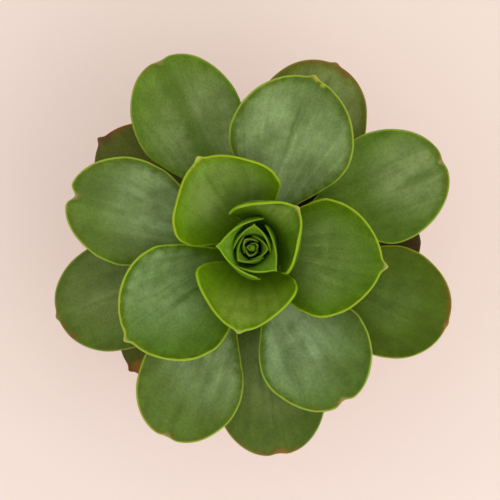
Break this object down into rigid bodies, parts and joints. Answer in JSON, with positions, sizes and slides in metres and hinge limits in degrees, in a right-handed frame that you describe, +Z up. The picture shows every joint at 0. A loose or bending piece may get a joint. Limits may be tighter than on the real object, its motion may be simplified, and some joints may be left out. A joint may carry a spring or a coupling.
{
  "type": "potted succulent",
  "caption": "Rosette succulent with broad spoon-shaped leaves on a short stem, growing in soil in a plain round tapered clay pot.",
  "frame": {"origin": "centre of the pot's underside, on the pot's axis, which is also the middle of the whole plant's outline to within a millimetre or two", "axes": "+Z up along the pot's axis; +X and +Y level, with the widest young outer leaf pointing about 70 degrees from +X towards +Y"},
  "size_m": [0.1599, 0.1615, 0.1414],
  "materials": {
    "clay": "matt unglazed terracotta",
    "earth": "moist crumbly potting mix",
    "bark": "dull green-brown stem with leaf scars",
    "bud": "waxy leaf",
    "young_leaf": "waxy leaf with a pale margin",
    "mature_leaf": "waxy leaf with a grey bloom",
    "old_leaf": "waxy leaf, brownish at the tip"
  },
  "bodies": {
    "root": {"pot": "clay", "soil": "earth", "stem": "bark", "bud": "bud", "leaf_01": "young_leaf", "leaf_02": "young_leaf", "leaf_03": "young_leaf", "leaf_04": "young_leaf", "leaf_05": "young_leaf", "leaf_06": "young_leaf", "leaf_07": "young_leaf", "leaf_08": "young_leaf", "leaf_09": "young_leaf", "leaf_10": "young_leaf", "leaf_11": "mature_leaf", "leaf_12": "mature_leaf", "leaf_13": "mature_leaf", "leaf_14": "mature_leaf", "leaf_15": "mature_leaf", "leaf_16": "mature_leaf", "leaf_17": "mature_leaf", "leaf_18": "mature_leaf", "leaf_19": "old_leaf", "leaf_20": "old_leaf", "leaf_21": "old_leaf", "leaf_22": "old_leaf", "leaf_23": "old_leaf", "leaf_24": "old_leaf", "leaf_25": "old_leaf"}
  },
  "joints": []
}
